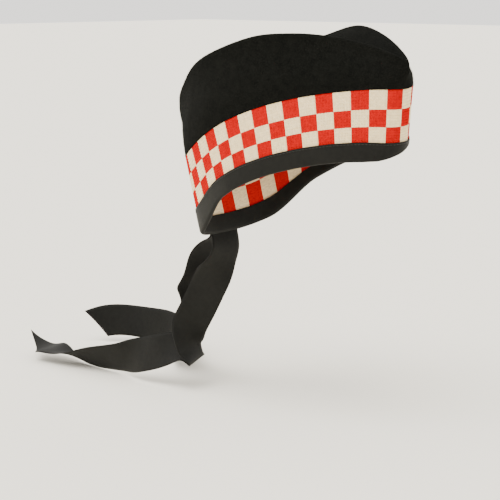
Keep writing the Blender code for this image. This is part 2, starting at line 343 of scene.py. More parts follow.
def mixed(tree, share, first, second):
    """Colour between two colours, which are numbers or sockets."""
    blend = tree.nodes.new("ShaderNodeMix")
    blend.data_type = "RGBA"
    tree.links.new(share, blend.inputs["Factor"])
    for value, socket in ((first, blend.inputs[6]), (second, blend.inputs[7])):
        if isinstance(value, tuple):
            socket.default_value = (*value, 1.0)
        else:
            tree.links.new(value, socket)
    return blend.outputs[2]


def relief(tree, height, depth, strength, under=None):
    """Bump of a depth in metres, over another one."""
    bump = tree.nodes.new("ShaderNodeBump")
    bump.inputs["Distance"].default_value = depth
    bump.inputs["Strength"].default_value = strength
    tree.links.new(height, bump.inputs["Height"])
    if under:
        tree.links.new(under, bump.inputs["Normal"])
    return bump.outputs["Normal"]


felt, tree, shader = finish_material("black_felt", 0.95, 0.008, 0.5, (0.8, 0.82, 0.75), 0.03)
place = tree.nodes.new("ShaderNodeTexCoord").outputs["Object"]
nap = noise(tree, place, 1100.0, 3.0)
mottle = noise(tree, place, 140.0, 3.0)
worn = noise(tree, place, 22.0, 2.0)
deep = mixed(tree, spread(tree, mottle, 0.35, 0.7), (0.0022, 0.0024, 0.0020), (0.0044, 0.0046, 0.0038))
shade = mixed(tree, spread(tree, nap, 0.42, 0.72), deep, (0.0090, 0.0092, 0.0078))
tree.links.new(mixed(tree, spread(tree, worn, 0.3, 0.8, 0.0, 0.4), shade, deep), shader.inputs["Base Color"])
soft = relief(tree, mottle, 0.5 * MM, 0.35)
tree.links.new(relief(tree, nap, 0.35 * MM, 0.8, soft), shader.inputs["Normal"])

crown_points = ring(crown_rows, HALF_COLUMNS)
wave_shifts = [Vector(shift) for shift in ((0.0, 0.0, 0.0), (WAVE_SHIFT, 0.0, 0.0), (0.0, WAVE_SHIFT, 0.0))]
for i, row in enumerate(crown_points[FLAT_ROWS:], 1):
    fade = min(1.0, i / FADE_ROWS) * CLOTH_WAVE
    for point in row:
        spot = Vector(point) / WAVE_LENGTH
        point += fade * np.array([waver(spot + shift) for shift in wave_shifts])
crown = cloth("crown_shell", crown_points, True, felt)
# The two sides meet along the valley, which is the last row
shaper = bmesh.new()
shaper.from_mesh(crown.data)
shaper.verts.ensure_lookup_table()
valley_points = shaper.verts[-crown_points.shape[1]:]
bmesh.ops.remove_doubles(shaper, verts=valley_points, dist=WELD)
shaper.to_mesh(crown.data)
shaper.free()
thicken(crown, FELT)
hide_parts("crown")
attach(crown, "root")

# Crown nap
# The short fibres that stand out of the milled wool and blur the crown's outline. They lie mostly
# down the cloth, as they are brushed, and are of the same black wool.
FIBRE_LENGTH = 1.8 * MM
FIBRE_THICK = 0.13 * MM
THICK_SHARE = FIBRE_THICK / FIBRE_LENGTH
FIBRES = 16000
FIBRE_SHARES = (0.6, 1.1)
# Least and greatest lean of a fibre from the cloth's outward direction, in degrees about its three axes
LEAN_LEAST = (25.0, -20.0, -40.0)
LEAN_MOST = (82.0, 20.0, 40.0)
NAP_SEED = 3


def finished_shape(name, build):
    """Object of a small shape, kept out of the scene, with its faces outward."""
    bmesh.ops.recalc_face_normals(build, faces=build.faces)
    mesh = bpy.data.meshes.new(name)
    build.to_mesh(mesh)
    build.free()
    mesh.shade_smooth()
    return bpy.data.objects.new(name, mesh)


def fibre_shape(name):
    """One tapered fibre, one long along Z and a little bent."""
    build = bmesh.new()
    rings = []
    for x, z, size in ((0.0, 0.0, 0.5), (0.06, 0.55, 0.42)):
        rings.append([
            build.verts.new((x + size * THICK_SHARE * cos(a), size * THICK_SHARE * sin(a), z))
            for a in (0.0, 2.0 * pi / 3.0, 4.0 * pi / 3.0)
        ])
    tip = build.verts.new((0.2, 0.0, 1.0))
    for k in range(3):
        after = (k + 1) % 3
        build.faces.new((rings[0][k], rings[0][after], rings[1][after], rings[1][k]))
        build.faces.new((rings[1][k], rings[1][after], tip))
    build.faces.new(rings[0][::-1])
    return finished_shape(name, build)


def read(tree, name, kind):
    """Named attribute of a geometry tree."""
    node = tree.nodes.new("GeometryNodeInputNamedAttribute")
    node.data_type = kind
    node.inputs["Name"].default_value = name
    return node.outputs["Attribute"]


def geometry_tree(name, sizes):
    """Empty geometry tree with named number inputs; returns the tree and its input and output."""
    tree = bpy.data.node_groups.new(name, "GeometryNodeTree")
    tree.interface.new_socket("Geometry", in_out="INPUT", socket_type="NodeSocketGeometry")
    tree.interface.new_socket("Geometry", in_out="OUTPUT", socket_type="NodeSocketGeometry")
    for title, value in sizes.items():
        kind = "NodeSocketInt" if isinstance(value, int) else "NodeSocketFloat"
        tree.interface.new_socket(title, in_out="INPUT", socket_type=kind).default_value = value
    return tree, tree.nodes.new("NodeGroupInput"), tree.nodes.new("NodeGroupOutput")


def grown(name, seed_object, tree, sizes):
    """Plain mesh of what a geometry tree grows on an object; the object and its modifier go away."""
    modifier = seed_object.modifiers.new(tree.name, "NODES")
    modifier.node_group = tree
    for item in tree.interface.items_tree:
        if item.item_type == "SOCKET" and item.in_out == "INPUT" and item.name in sizes:
            modifier[item.identifier] = sizes[item.name]
    graph = bpy.context.evaluated_depsgraph_get()
    mesh = bpy.data.meshes.new_from_object(
        seed_object.evaluated_get(graph), preserve_all_data_layers=True, depsgraph=graph
    )
    seed_object.modifiers.remove(modifier)
    mesh.name = name
    bpy.data.objects.remove(seed_object, do_unlink=True)
    return added(name, mesh)


def set_on_points(tree, points, small_shape, rotation, scale):
    """A small shape on each point, turned and scaled, as real geometry."""
    shape = tree.nodes.new("GeometryNodeObjectInfo")
    shape.inputs["Object"].default_value = small_shape
    scatter = tree.nodes.new("GeometryNodeInstanceOnPoints")
    tree.links.new(points, scatter.inputs["Points"])
    tree.links.new(shape.outputs["Geometry"], scatter.inputs["Instance"])
    tree.links.new(rotation, scatter.inputs["Rotation"])
    tree.links.new(scale, scatter.inputs["Scale"])
    real = tree.nodes.new("GeometryNodeRealizeInstances")
    tree.links.new(scatter.outputs["Instances"], real.inputs["Geometry"])
    return real.outputs["Geometry"]


def dyed_last(tree, geometry, material, leave):
    """The tree's last step, its material."""
    dye = tree.nodes.new("GeometryNodeSetMaterial")
    dye.inputs["Material"].default_value = material
    tree.links.new(geometry, dye.inputs["Geometry"])
    tree.links.new(dye.outputs["Geometry"], leave.inputs["Geometry"])


crown_area = sum(face.area for face in crown.data.polygons)
nap_sizes = {"Density": FIBRES / crown_area, "Length": FIBRE_LENGTH, "Seed": NAP_SEED}
fibre = fibre_shape("wool_fibre")
tree, entry, leave = geometry_tree("nap", nap_sizes)
sown = tree.nodes.new("GeometryNodeDistributePointsOnFaces")
tree.links.new(entry.outputs["Geometry"], sown.inputs["Mesh"])
tree.links.new(entry.outputs["Density"], sown.inputs["Density"])
tree.links.new(entry.outputs["Seed"], sown.inputs["Seed"])
lean = tree.nodes.new("FunctionNodeRandomValue")
lean.data_type = "FLOAT_VECTOR"
lean.inputs[0].default_value = [radians(angle) for angle in LEAN_LEAST]
lean.inputs[1].default_value = [radians(angle) for angle in LEAN_MOST]
tree.links.new(entry.outputs["Seed"], lean.inputs["Seed"])
laid = tree.nodes.new("FunctionNodeRotateRotation")
laid.rotation_space = "LOCAL"
tree.links.new(sown.outputs["Rotation"], laid.inputs["Rotation"])
tree.links.new(lean.outputs["Value"], laid.inputs["Rotate By"])
length = tree.nodes.new("FunctionNodeRandomValue")
length.data_type = "FLOAT"
length.inputs[2].default_value, length.inputs[3].default_value = FIBRE_SHARES
tree.links.new(entry.outputs["Seed"], length.inputs["Seed"])
size = tree.nodes.new("ShaderNodeMath")
size.operation = "MULTIPLY"
tree.links.new(length.outputs[1], size.inputs[0])
tree.links.new(entry.outputs["Length"], size.inputs[1])
fibres = set_on_points(tree, sown.outputs["Points"], fibre, laid.outputs["Rotation"], size.outputs["Value"])
dyed_last(tree, fibres, felt, leave)

nap_fibres = grown("crown_nap", added("nap_ground", crown.data.copy()), tree, nap_sizes)
bpy.data.objects.remove(fibre, do_unlink=True)
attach(nap_fibres, "root")

# Diced band
# The knitted strip under the crown, in red and cream wool, three rows of checks, forty to the round.
# Its checks are six stitches wide and six high, and its foot is bound with the ribbon.
KNIT = 2.0 * MM
RIBBON = 1.0 * MM
CHECKS = 40
STITCHES = 6
FIRST_CHECK = 0.13
ROW_HEIGHTS = (16.2 * MM, 29.4 * MM, 43.6 * MM, 59.6 * MM)
FOOT_SHARES = (0.0, 0.5)
BAND_SUNK = 0.3 * MM
BACK_STRETCH = 0.13
# Tone of the wall under the stitches, lower than the stitches' mean: painted shade where the wall shows
# between them
WALL_PAINTED_SHADE = 0.35
TURN_STEPS = 720
BINDING_FOLD = (KNIT + 2.0 * GAP + 2.0 * RIBBON) / 2.0
FRONT_NOTCH = 11.0 * MM
# Turn in degrees, negative on the right side, then share of the notch's depth
NOTCH = (
    (-180, 0.00),
    (-34, 0.00),
    (-22, 0.12),
    (-12, 0.34),
    (-3, 0.57),
    (6, 0.80),
    (12, 0.94),
    (18, 1.00),
    (26, 0.72),
    (36, 0.22),
    (46, 0.00),
    (180, 0.00),
)


def lower_edge(turn, side):
    """Height of the lower edge along one side, raised at the front by the notch."""
    degrees = np.degrees(turn) * (1.0 if side else -1.0)
    return FRONT_NOTCH * np.interp(degrees, column(NOTCH, 0), column(NOTCH, 1))


def turns_at(shares, height):
    """Turns, negative on the right side, at shares of the knit from the front along the right."""
    turn = np.linspace(0.0, pi, TURN_STEPS + 1)
    steps = np.linalg.norm(np.diff(wall(turn, height), axis=0), axis=-1)
    steps /= 1.0 + BACK_STRETCH * (1.0 - height / SEAM_HEIGHT) * (turn[1:] > DIP_START)
    run = np.concatenate([[0.0], np.cumsum(steps)]) / np.sum(steps) / 2.0
    shares = np.mod(shares, 1.0)
    right = np.interp(shares, run, turn)
    left = np.interp(1.0 - shares, run, turn)
    return np.where(shares <= 0.5, -right, left)


def band_place(shares, height, offset):
    """Places round the band, and the direction out of it at each, as worn."""
    turn = turns_at(shares, height)
    side = np.where(turn < 0.0, -1.0, 1.0)[:, None] * np.array([1.0, 0.0, 0.0]) + np.array([0.0, 1.0, 1.0])
    out = tilt(out_of_wall(np.abs(turn), height) * side)
    place = tilt(wall(np.abs(turn), height) * side) + offset * out
    return place, unit(out)


def painted(tree, name):
    """Number that a mesh carries under a name."""
    attribute = tree.nodes.new("ShaderNodeAttribute")
    attribute.attribute_name = name
    return attribute.outputs["Fac"]


width = CHECKS * STITCHES
column_index = np.arange(width) // STITCHES
stitch_shares = (FIRST_CHECK + np.arange(width + 1) / STITCHES) / CHECKS
stitch_heights = np.concatenate([
    np.linspace(low, high, STITCHES + 1)[:-1] for low, high in zip(ROW_HEIGHTS, ROW_HEIGHTS[1:])
] + [[ROW_HEIGHTS[-1]]])

wool, tree, shader = finish_material("dicing_wool", 0.9, 0.012, 0.5, (1.0, 0.9, 0.8), 0.08)
place = tree.nodes.new("ShaderNodeTexCoord").outputs["Object"]
ply = noise(tree, place, 2600.0, 2.0)
fuzz = noise(tree, place, 320.0, 3.0)
red = mixed(tree, spread(tree, fuzz, 0.3, 0.7), (0.50, 0.002, 0.002), (0.60, 0.004, 0.003))
cream = mixed(tree, spread(tree, fuzz, 0.3, 0.7), (0.93, 0.76, 0.46), (0.99, 0.84, 0.55))
dyed = mixed(tree, painted(tree, "check"), cream, red)
# The tone darkens or lightens the dye: at random on each stitch, and as painted shade on the wall between the
# stitches
depth = tree.nodes.new("ShaderNodeHueSaturation")
tree.links.new(dyed, depth.inputs["Color"])
tree.links.new(spread(tree, painted(tree, "tone"), 0.0, 1.0, 0.9, 1.04), depth.inputs["Value"])
tree.links.new(depth.outputs["Color"], shader.inputs["Base Color"])
tree.links.new(relief(tree, ply, 0.15 * MM, 0.5), shader.inputs["Normal"])

wool_back, tree, shader = finish_material("dicing_back", 0.92, 0.012, 0.5, (1.0, 0.9, 0.8), 0.06)
strands = tree.nodes.new("ShaderNodeMapping")
strands.inputs["Scale"].default_value = (330.0, 900.0, 1.0)
tree.links.new(tree.nodes.new("ShaderNodeTexCoord").outputs["UV"], strands.inputs["Vector"])
floats = noise(tree, strands.outputs["Vector"], 1.0, 1.0)
red_back = mixed(tree, spread(tree, floats, 0.35, 0.65), (0.40, 0.002, 0.002), (0.52, 0.006, 0.005))
cream_back = mixed(tree, spread(tree, floats, 0.35, 0.65), (0.70, 0.55, 0.33), (0.88, 0.72, 0.46))
tree.links.new(mixed(tree, painted(tree, "check"), cream_back, red_back), shader.inputs["Base Color"])
tree.links.new(relief(tree, floats, 0.6 * MM, 0.7), shader.inputs["Normal"])

foot_turns = turns_at(stitch_shares[:-1], ROW_HEIGHTS[0])
foot = np.array([lower_edge(np.abs(turn), int(turn > 0.0)) for turn in foot_turns]) + BINDING_FOLD
band_grid = []
for share in FOOT_SHARES:
    heights = foot + (ROW_HEIGHTS[0] - foot) * share
    band_grid.append([
        band_place(stitch_shares[k:k + 1], heights[k], -BAND_SUNK)[0][0] for k in range(len(heights))
    ])
for height in [*stitch_heights, SEAM_HEIGHT - GAP / 2.0]:
    band_grid.append(band_place(stitch_shares[:-1], height, -BAND_SUNK)[0])
band = cloth("band_wall", np.asarray(band_grid)[:, ::-1], True, wool)
# The wall's columns run the other way round than the stitches, so that its faces point outwards
is_red = np.zeros(len(band.data.polygons))
for row in range(len(band_grid) - 1):
    band_row = min(max(row - len(FOOT_SHARES), 0) // STITCHES, len(ROW_HEIGHTS) - 2)
    for k in range(width):
        cell = (width - 2 - k) % width
        is_red[row * width + k] = (column_index[cell] + band_row) % 2 == 0
band.data.attributes.new("check", "FLOAT", "FACE").data.foreach_set("value", is_red)
# The wall's tone is painted shade in the gaps between the stitches
band.data.attributes.new("tone", "FLOAT", "FACE").data.foreach_set("value", np.full(len(is_red), WALL_PAINTED_SHADE))
thicken(band, KNIT - BAND_SUNK)
band.data.materials.append(wool_back)
band.modifiers["thickness"].material_offset = 1
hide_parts("diced_band")
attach(band, "root")

# Knit stitches
# The face of the band: each stitch of wool shows as a V of two plump legs, nested in the one below,
# so that the checks' edges are toothed. All the stitches of a check are of one colour.
YARN_RISE = 0.62 * MM
LEG_LEAN = 0.30
LEG_THICK = 0.17
SIZE_SPREAD = 0.03
STITCH_SEED = 7
CHART_STRIPS = 4


def stitch_shape(name):
    """One V of yarn in a cell one wide, one high and one deep."""
    build = bmesh.new()
    for side in (-1.0, 1.0):
        low_tip = build.verts.new((side * 0.02, -0.66, 0.05))
        high_tip = build.verts.new((side * 0.42, 0.60, 0.05))
        rings = []
        for x, y, wide in ((0.12, -0.32, 1.0), (0.12 + 0.6 * LEG_LEAN, 0.32, 0.95)):
            thick = LEG_THICK * wide
            around = ((-thick, 0.05, 0.25), (0.0, 0.0, 1.0), (thick, -0.05, 0.25), (0.0, 0.0, -0.25))
            rings.append([build.verts.new((side * (x + dx), y + dy, z)) for dx, dy, z in around])
        for k in range(4):
            after = (k + 1) % 4
            build.faces.new((low_tip, rings[0][after], rings[0][k]))
            build.faces.new((rings[0][k], rings[0][after], rings[1][after], rings[1][k]))
            build.faces.new((rings[1][k], rings[1][after], high_tip))
    shape = finished_shape(name, build)
    local = shape.data.attributes.new("local", "FLOAT_VECTOR", "POINT")
    local.data.foreach_set("vector", np.array([v.co for v in shape.data.vertices], np.float32).ravel())
    return shape


rng = np.random.default_rng(STITCH_SEED)
strip_width = width // CHART_STRIPS
cells = {"position": [], "out": [], "along": [], "cell": [], "check": [], "tone": [], "chart": []}
middle_shares = (stitch_shares[1:] + stitch_shares[:-1]) / 2.0
rows_high = len(stitch_heights) - 1
for row in range(rows_high):
    low, high = stitch_heights[row:row + 2]
    height = (low + high) / 2.0
    here, out = band_place(middle_shares, height, -BAND_SUNK)
    before = band_place(stitch_shares[:-1], height, 0.0)[0]
    after = band_place(stitch_shares[1:], height, 0.0)[0]
    step = after - before
    size = np.stack([
        np.linalg.norm(step, axis=-1), np.full(width, high - low), np.full(width, YARN_RISE)
    ], axis=-1)
    index = np.arange(width)
    cells["position"].append(here)
    cells["out"].append(out)
    cells["along"].append(-unit(step))
    cells["cell"].append(size * rng.uniform(1.0 - SIZE_SPREAD, 1.0 + SIZE_SPREAD, (width, 3)))
    cells["check"].append((column_index + row // STITCHES) % 2 == 0)
    cells["tone"].append(rng.uniform(0.0, 1.0, width))
    strip = index // strip_width
    cells["chart"].append(np.stack([
        (index % strip_width + 0.5) / strip_width,
        (row + 0.5 + rows_high * strip) / (rows_high * CHART_STRIPS),
        0.0 * index,
    ], axis=-1))
grid = bpy.data.meshes.new("stitch_places")
grid.from_pydata(np.concatenate(cells["position"]).tolist(), [], [])
for name in ("out", "along", "cell", "chart"):
    values = np.concatenate(cells[name]).astype(np.float32)
    grid.attributes.new(name, "FLOAT_VECTOR", "POINT").data.foreach_set("vector", values.ravel())
for name in ("check", "tone"):
    values = np.concatenate(cells[name]).astype(np.float32)
    grid.attributes.new(name, "FLOAT", "POINT").data.foreach_set("value", values)
stitch = stitch_shape("knit_stitch")

chart_sizes = {"Chart width": 1.0 / strip_width, "Chart height": 1.0 / (rows_high * CHART_STRIPS)}
tree, entry, leave = geometry_tree("knit_stitches", chart_sizes)
axes = tree.nodes.new("FunctionNodeAxesToRotation")
axes.primary_axis = "Z"
axes.secondary_axis = "X"
tree.links.new(read(tree, "out", "FLOAT_VECTOR"), axes.inputs["Primary Axis"])
tree.links.new(read(tree, "along", "FLOAT_VECTOR"), axes.inputs["Secondary Axis"])
cell = read(tree, "cell", "FLOAT_VECTOR")
real = set_on_points(tree, entry.outputs["Geometry"], stitch, axes.outputs["Rotation"], cell)
shrink = tree.nodes.new("ShaderNodeCombineXYZ")
tree.links.new(entry.outputs["Chart width"], shrink.inputs["X"])
tree.links.new(entry.outputs["Chart height"], shrink.inputs["Y"])
spot = tree.nodes.new("ShaderNodeVectorMath")
spot.operation = "MULTIPLY_ADD"
tree.links.new(read(tree, "local", "FLOAT_VECTOR"), spot.inputs[0])
tree.links.new(shrink.outputs["Vector"], spot.inputs[1])
tree.links.new(read(tree, "chart", "FLOAT_VECTOR"), spot.inputs[2])
store = tree.nodes.new("GeometryNodeStoreNamedAttribute")
store.data_type = "FLOAT2"
store.domain = "CORNER"
store.inputs["Name"].default_value = "OFBake"
tree.links.new(real, store.inputs["Geometry"])
tree.links.new(spot.outputs["Vector"], store.inputs["Value"])
dyed_last(tree, store.outputs["Geometry"], wool, leave)

stitches = grown("band_stitches", added("stitch_places", grid), tree, chart_sizes)
bpy.data.objects.remove(stitch, do_unlink=True)
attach(stitches, "root")

# Binding
# Black corded ribbon folded round the lower edge, half outside and half inside the cap, and stitched
# through close to its upper selvedge. At the front it dips into a soft notch, where it puckers.
BINDING_OUTSIDE = 17.0 * MM
BINDING_INSIDE = 13.0 * MM
BINDING_THICK = 0.9 * RIBBON
BINDING_COLUMNS = 120
FOLD_STEPS = 12
PUCKER = 0.5 * MM
PUCKER_PITCH = radians(3.1)
FINE_PUCKER = 0.6
FINE_PUCKER_RATE = 190.0
# Place and reach of the puckers, in degrees from the front fold to the left
PUCKER_PLACE = 22.0
PUCKER_REACH = 14.0
# Rise of the ribbon's outer half over the band, and the share of its width at which it ends
SWELL = 0.12 * MM
SWELL_END = 0.93


def ribbon_finish(name, cord_pitch, along):
    """Black ribbon with fine cords across it; along is the map's axis that runs along the ribbon."""
    material, tree, shader = finish_material(name, 0.58, 0.012, 0.4, (0.85, 0.85, 0.78), 0.11)
    coordinates = tree.nodes.new("ShaderNodeTexCoord")
    spot = tree.nodes.new("ShaderNodeSeparateXYZ")
    tree.links.new(coordinates.outputs["UV"], spot.inputs["Vector"])
    phase = tree.nodes.new("ShaderNodeMath")
    phase.operation = "MULTIPLY"
    phase.inputs[1].default_value = 2.0 * pi / cord_pitch
    tree.links.new(spot.outputs[along], phase.inputs[0])
    cord = tree.nodes.new("ShaderNodeMath")
    cord.operation = "SINE"
    tree.links.new(phase.outputs["Value"], cord.inputs[0])
    slub = noise(tree, coordinates.outputs["Object"], 260.0, 3.0)
    cloud = noise(tree, coordinates.outputs["Object"], 35.0, 2.0)
    dark = mixed(tree, spread(tree, slub, 0.3, 0.75), (0.0042, 0.0042, 0.0036), (0.0072, 0.0072, 0.0060))
    shade = mixed(tree, spread(tree, cloud, 0.35, 0.75, 0.0, 0.5), dark, (0.0100, 0.0100, 0.0084))
    tree.links.new(shade, shader.inputs["Base Color"])
    soft = relief(tree, slub, 0.2 * MM, 0.4)
    tree.links.new(relief(tree, cord.outputs["Value"], 0.05 * MM, 0.5, soft), shader.inputs["Normal"])
    return material


def binding_rows(turn, side):
    """Rows of the ribbon's outer face, down the inside of the cap, round its edge and up the outside."""
    edge = lower_edge(turn, side)
    left = np.degrees(turn) * (1.0 if side else -1.0)
    puckers = np.sin(turn / PUCKER_PITCH * 2.0 * pi) + FINE_PUCKER * np.sin(turn * FINE_PUCKER_RATE)
    lumps = np.exp(-((left - PUCKER_PLACE) / PUCKER_REACH) ** 2) * puckers
    bend = edge + BINDING_FOLD + PUCKER * lumps
    out = GAP + RIBBON
    rows = []
    for share in (0.0, 0.03, 0.35, 0.7):
        height = edge + BINDING_INSIDE + (bend - edge - BINDING_INSIDE) * share
        rows.append(off_wall(turn, height, out - 2.0 * BINDING_FOLD))
    for angle in np.linspace(pi, 0.0, FOLD_STEPS + 1):
        rows.append(off_wall(turn, bend - BINDING_FOLD * sin(angle), out - BINDING_FOLD * (1.0 - cos(angle))))
    for share in (0.2, 0.4, 0.6, 0.8, SWELL_END, 0.98, 1.0):
        swell = SWELL * sin(pi * min(share / SWELL_END, 1.0))
        rows.append(off_wall(turn, bend + (BINDING_OUTSIDE - bend) * share, out + swell))
    return np.asarray(rows)


binding_cloth = ribbon_finish("binding_ribbon", 0.9 * MM, "X")
binding = cloth("binding_ribbon", ring(binding_rows, BINDING_COLUMNS), True, binding_cloth)
thicken(binding, BINDING_THICK)
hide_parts("binding")
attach(binding, "root")

# Binding stitches
# The machine stitching that holds the binding: black thread, a row of short straight stitches just
# under the ribbon's upper selvedge, all the way round.
STITCH_PITCH = 3.2 * MM
STITCH_LENGTH = 2.3 * MM
THREAD = 0.45 * MM
THREAD_RISE = 0.1 * MM
SEWN_UNDER = 1.6 * MM

thread_finish, tree, shader = finish_material("black_thread", 0.5, 0.0, 0.5, (1.0, 1.0, 1.0), 0.4)
twist = noise(tree, tree.nodes.new("ShaderNodeTexCoord").outputs["Object"], 1800.0, 1.0)
lit = mixed(tree, spread(tree, twist, 0.3, 0.7), (0.010, 0.010, 0.0085), (0.022, 0.022, 0.019))
tree.links.new(lit, shader.inputs["Base Color"])


def thread_shape(name):
    """One straight stitch along X, one long, one wide and one high."""
    build = bmesh.new()
    rings = []
    for x, size in ((-0.5, 0.35), (-0.36, 0.9), (0.36, 0.9), (0.5, 0.35)):
        angles = np.arange(6) * pi / 3.0
        rings.append([build.verts.new((x, 0.5 * size * cos(a), 0.5 * size * sin(a))) for a in angles])
    for first, second in zip(rings, rings[1:]):
        for k in range(6):
            after = (k + 1) % 6
            build.faces.new((first[k], first[after], second[after], second[k]))
    build.faces.new(rings[0][::-1])
    build.faces.new(rings[-1])
    return finished_shape(name, build)


def sewn_row_tree(sizes):
    """Geometry tree that lays stitches one after another along the edges of a path."""
    tree, entry, leave = geometry_tree("sewn_row", sizes)
    path = tree.nodes.new("GeometryNodeMeshToCurve")
    tree.links.new(entry.outputs["Geometry"], path.inputs["Mesh"])
    even = tree.nodes.new("GeometryNodeResampleCurve")
    even.mode = "LENGTH"
    tree.links.new(path.outputs["Curve"], even.inputs["Curve"])
    tree.links.new(entry.outputs["Pitch"], even.inputs["Length"])
    heading = tree.nodes.new("GeometryNodeInputTangent")
    aim = tree.nodes.new("FunctionNodeAlignRotationToVector")
    aim.axis = "X"
    tree.links.new(heading.outputs["Tangent"], aim.inputs["Vector"])
    size = tree.nodes.new("ShaderNodeCombineXYZ")
    for axis, title in (("X", "Length"), ("Y", "Thickness"), ("Z", "Thickness")):
        tree.links.new(entry.outputs[title], size.inputs[axis])
    rotation, scale = aim.outputs["Rotation"], size.outputs["Vector"]
    real = set_on_points(tree, even.outputs["Curve"], thread_stitch, rotation, scale)
    dyed_last(tree, real, thread_finish, leave)
    return tree


def sewn_row(name, points):
    """Closed row of stitches along a path of points."""
    count = len(points)
    mesh = bpy.data.meshes.new(name + "_path")
    mesh.from_pydata(points.tolist(), [(k, (k + 1) % count) for k in range(count)], [])
    sizes = {"Pitch": STITCH_PITCH, "Length": STITCH_LENGTH, "Thickness": THREAD}
    piece = grown(name, added(name + "_path", mesh), sewn_row_tree(sizes), sizes)
    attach(piece, "root")


def seam_line(turn, side):
    """The stitching's line under the binding's upper selvedge, the same on both sides."""
    return np.asarray([off_wall(turn, BINDING_OUTSIDE - SEWN_UNDER, GAP + RIBBON + THREAD_RISE)])


thread_stitch = thread_shape("thread_stitch")
sewn_row("binding_stitches", ring(seam_line, BINDING_COLUMNS)[0])

# Tails
# Two lengths of black ribbon, sewn flat one over the other on the back of the binding. They hang
# down from it and run out over the surface below, the right one twisting towards its cut end.
RIBBON_WIDTH = 36.0 * MM
TAIL_RIGHT_LENGTH = 433.0 * MM
TAIL_LEFT_LENGTH = 433.0 * MM
TAIL_RIGHT_SLANT = -22.0 * MM
TAIL_LEFT_SLANT = 17.0 * MM
TAIL_LAP = 12.0 * MM
TAIL_THICK = 0.6 * MM
TAIL_ROWS = 300
TAIL_STRIPS = 12
# Depth of the crumples, the stretch below the seat in which they set in, their length along the
# ribbon, and what sets them apart across it and from one tail to the other
TAIL_CRUMPLE = 0.45 * MM
TAIL_FREE = 30.0 * MM
CRUMPLE_LENGTH = 21.0 * MM
CRUMPLE_ACROSS = 0.9
CRUMPLE_SHIFT = 900.0
# Middle of the ribbon from the back of the cap's edge, in mm left, back and up, then the direction
# across it. The right tail folds back on itself where it turns out over the surface.
TAIL_RIGHT = (
    (-2.0, -2.5, -13.5, 1.00, -0.04, -0.05),
    (-3.0, 3.5, -29.0, 0.97, -0.18, -0.16),
    (-3.0, 16.5, -49.0, 0.63, -0.64, -0.44),
    (-2.5, 29.0, -69.0, 0.57, -0.70, -0.43),
    (-2.0, 41.5, -88.0, 0.57, -0.70, -0.43),
    (-1.5, 51.0, -105.0, 0.74, -0.56, -0.37),
    (0.5, 53.0, -117.0, 0.98, -0.10, -0.15),
    (3.0, 51.5, -127.0, 0.98, 0.16, 0.15),
    (7.0, 48.0, -135.5, 0.94, 0.34, 0.11),
    (9.5, 49.5, -137.0, 0.93, 0.33, 0.13),
    (8.5, 56.0, -132.0, 0.92, 0.32, 0.23),
    (4.0, 71.5, -127.0, 0.64, 0.24, 0.73),
    (-2.5, 91.5, -132.0, 0.21, 0.09, 0.97),
    (-3.5, 117.5, -139.5, 0.13, 0.17, 0.98),
    (-3.0, 148.0, -147.0, -0.37, -0.08, 0.92),
    (-4.0, 181.5, -152.5, -0.62, -0.09, 0.78),
    (-4.0, 210.5, -156.5, -0.80, -0.20, 0.56),
    (-2.5, 234.0, -157.0, -0.93, -0.30, 0.23),
    (-2.0, 253.5, -153.5, -0.95, -0.28, -0.12),
    (-2.5, 272.5, -155.5, -0.94, -0.32, -0.07),
    (-2.5, 287.5, -154.5, -0.77, -0.58, -0.28),
    (-3.5, 299.0, -150.0, -0.67, -0.60, -0.44),
)
TAIL_LEFT = (
    (0.5, 12.5, -10.5, 0.98, -0.15, -0.10),
    (3.0, 31.0, -27.5, 0.96, -0.24, -0.17),
    (8.5, 43.0, -47.5, 0.93, -0.34, -0.16),
    (11.0, 52.5, -59.0, 0.93, -0.34, -0.15),
    (12.0, 57.0, -65.5, 0.92, -0.35, -0.15),
    (15.5, 58.0, -72.0, 0.92, -0.36, -0.15),
    (19.5, 59.5, -79.0, 0.93, -0.35, -0.14),
    (29.0, 74.0, -94.5, 0.94, -0.30, -0.12),
    (42.5, 93.0, -110.5, 0.97, -0.21, -0.08),
    (57.0, 112.5, -131.0, 0.99, -0.10, 0.04),
    (76.5, 134.0, -148.0, 0.94, -0.03, 0.34),
    (98.0, 160.5, -150.0, 0.68, -0.14, 0.72),
    (117.0, 193.0, -142.5, 0.30, -0.02, 0.95),
    (127.0, 229.0, -142.5, 0.14, 0.14, 0.98),
    (125.0, 258.0, -143.0, 0.16, 0.20, 0.97),
    (113.5, 279.0, -142.0, 0.02, 0.24, 0.97),
    (100.5, 292.5, -144.0, -0.05, 0.30, 0.95),
    (88.5, 301.5, -148.5, -0.12, 0.36, 0.92),
)


